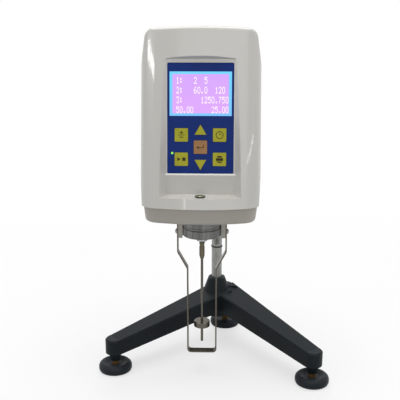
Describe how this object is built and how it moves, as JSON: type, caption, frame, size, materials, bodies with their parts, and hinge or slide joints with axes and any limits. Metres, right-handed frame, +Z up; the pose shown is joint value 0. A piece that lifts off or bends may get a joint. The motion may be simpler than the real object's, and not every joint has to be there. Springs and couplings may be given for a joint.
{
  "type": "rotational viscometer",
  "caption": "Bench rotational viscometer: a white head with display and keys hangs on a rack column over a black V base, with a turning spindle inside a guard.",
  "frame": {"origin": "middle of the footprint of the whole instrument, on the bench surface", "axes": "+Z up along the column, front panel towards -Y, +X to the right seen from the front"},
  "size_m": [0.269, 0.2404, 0.3995],
  "materials": {
    "housing_white": "satin",
    "cover_taupe": "satin",
    "panel_blue": "satin",
    "display_border_blue": "satin",
    "display_violet": "backlit",
    "key_olive": "satin",
    "key_orange": "satin",
    "led_green": "lit",
    "board_green": "satin",
    "black_plastic": "satin",
    "vial_green": "polished",
    "chrome_ring": "polished",
    "machined_alloy": "turned",
    "bearing_brass": "turned",
    "stainless": "satin",
    "steel_column": "ground",
    "base_black": "satin",
    "block_grey": "satin",
    "black_rubber": "matte",
    "screw_steel": "satin",
    "spring_steel": "bright",
    "motor_black": "satin"
  },
  "bodies": {
    "stand": {"base": "base_black", "column": "steel_column", "stop_ring": "black_rubber", "column_nut": "screw_steel"},
    "left_foot": {"foot_left": "base_black"},
    "right_foot": {"foot_right": "base_black"},
    "rear_foot": {"foot_rear": "base_black"},
    "carriage": {"lift_block": "block_grey"},
    "lift_drive": {"pinion": "bearing_brass", "pinion_shaft": "stainless", "lift_knob": "black_plastic"},
    "clamp": {"clamp_knob": "black_plastic"},
    "lock": {"lock_knob": "black_plastic"},
    "head": {"front_shell": "housing_white", "rear_shell": "housing_white", "bottom_cover": "cover_taupe", "shell_screws": "screw_steel", "mount_flange": "machined_alloy", "flange_screws": "screw_steel", "control_panel": "panel_blue", "display_border": "display_border_blue", "display_screen": "display_violet", "display_board": "board_green", "key_board": "board_green", "key_guide": "black_plastic", "status_led": "led_green", "level_cup": "chrome_ring", "level_vial": "vial_green", "collar": "machined_alloy", "bearing_cup": "machined_alloy", "lower_plate": "machined_alloy", "upper_plate": "machined_alloy", "pillars": "stainless", "drive_motor": "motor_black", "optical_sensor": "black_plastic", "main_board": "board_green", "board_posts": "bearing_brass", "guard": "stainless", "guard_pads": "machined_alloy", "guard_screws": "screw_steel", "switch_housing": "black_plastic", "power_inlet": "screw_steel", "probe_socket": "screw_steel", "serial_port": "stainless"},
    "rotor": {"spindle": "stainless", "spindle_coupling": "bearing_brass", "pivot_shaft": "stainless", "pivot_disc": "machined_alloy"},
    "drive": {"drive_shaft": "stainless", "drive_disc": "machined_alloy", "torsion_spring": "spring_steel"},
    "rocker": {"switch_rocker": "black_plastic"},
    "key_upper_left_body": {"key_upper_left": "key_olive"},
    "key_upper_right_body": {"key_upper_right": "key_olive"},
    "key_lower_left_body": {"key_lower_left": "key_olive"},
    "key_lower_right_body": {"key_lower_right": "key_olive"},
    "key_up_body": {"key_up": "key_olive"},
    "key_down_body": {"key_down": "key_olive"},
    "key_enter_body": {"key_enter": "key_orange"}
  },
  "joints": [
    {"name": "head_lift", "type": "slide", "parent": "stand", "child": "carriage", "axis": [0, 0, 1], "range_m": [-0.02, 0.06]},
    {"name": "lift_knob_turn", "type": "hinge", "parent": "carriage", "child": "lift_drive", "pos_m": [0.00447, 0.05013, 0.268], "axis": [1, 0, 0], "range_deg": [-400, 150]},
    {"name": "head_level", "type": "hinge", "parent": "carriage", "child": "head", "pos_m": [-0.01213, 0.05863, 0.299], "axis": [0, 1, 0], "range_deg": [-4, 4]},
    {"name": "clamp_turn", "type": "hinge", "parent": "carriage", "child": "clamp", "pos_m": [-0.03073, 0.05863, 0.299], "axis": [1, 0, 0], "range_deg": [-360, 45]},
    {"name": "lock_turn", "type": "hinge", "parent": "carriage", "child": "lock", "pos_m": [0.00447, 0.08423, 0.292], "axis": [0, 1, 0], "range_deg": [-360, 45]},
    {"name": "spindle_turn", "type": "hinge", "parent": "head", "child": "rotor", "pos_m": [-0.01213, -0.02937, 0.15], "axis": [0, 0, 1], "continuous": true},
    {"name": "drive_turn", "type": "hinge", "parent": "head", "child": "drive", "pos_m": [-0.01213, -0.02937, 0.262], "axis": [0, 0, 1], "continuous": true},
    {"name": "power_rocker", "type": "hinge", "parent": "head", "child": "rocker", "pos_m": [-0.04613, 0.01563, 0.24], "axis": [1, 0, 0], "range_deg": [0, 16]},
    {"name": "left_foot_turn", "type": "hinge", "parent": "stand", "child": "left_foot", "pos_m": [-0.11499, -0.03193, 0.005], "axis": [0, 0, 1], "range_deg": [-720, 720]},
    {"name": "right_foot_turn", "type": "hinge", "parent": "stand", "child": "right_foot", "pos_m": [0.115, -0.05691, 0.005], "axis": [0, 0, 1], "range_deg": [-720, 720]},
    {"name": "rear_foot_turn", "type": "hinge", "parent": "stand", "child": "rear_foot", "pos_m": [0.01577, 0.10073, 0.005], "axis": [0, 0, 1], "range_deg": [-720, 720]},
    {"name": "key_upper_left_press", "type": "slide", "parent": "head", "child": "key_upper_left_body", "axis": [0, 0.9882, -0.153], "range_m": [0, 0.0004], "stiffness_N_per_m": 1500},
    {"name": "key_upper_right_press", "type": "slide", "parent": "head", "child": "key_upper_right_body", "axis": [0, 0.9882, -0.153], "range_m": [0, 0.0004], "stiffness_N_per_m": 1500},
    {"name": "key_lower_left_press", "type": "slide", "parent": "head", "child": "key_lower_left_body", "axis": [0, 0.9882, -0.153], "range_m": [0, 0.0004], "stiffness_N_per_m": 1500},
    {"name": "key_lower_right_press", "type": "slide", "parent": "head", "child": "key_lower_right_body", "axis": [0, 0.9882, -0.153], "range_m": [0, 0.0004], "stiffness_N_per_m": 1500},
    {"name": "key_up_press", "type": "slide", "parent": "head", "child": "key_up_body", "axis": [0, 0.9882, -0.153], "range_m": [0, 0.0004], "stiffness_N_per_m": 1500},
    {"name": "key_down_press", "type": "slide", "parent": "head", "child": "key_down_body", "axis": [0, 0.9882, -0.153], "range_m": [0, 0.0004], "stiffness_N_per_m": 1500},
    {"name": "key_enter_press", "type": "slide", "parent": "head", "child": "key_enter_body", "axis": [0, 0.9882, -0.153], "range_m": [0, 0.0004], "stiffness_N_per_m": 1500}
  ],
  "couplings": [
    {"joint": "lift_knob_turn", "follows": "head_lift", "rad_per_m": -111.11},
    {"joint": "drive_turn", "follows": "spindle_turn", "ratio": 1}
  ]
}
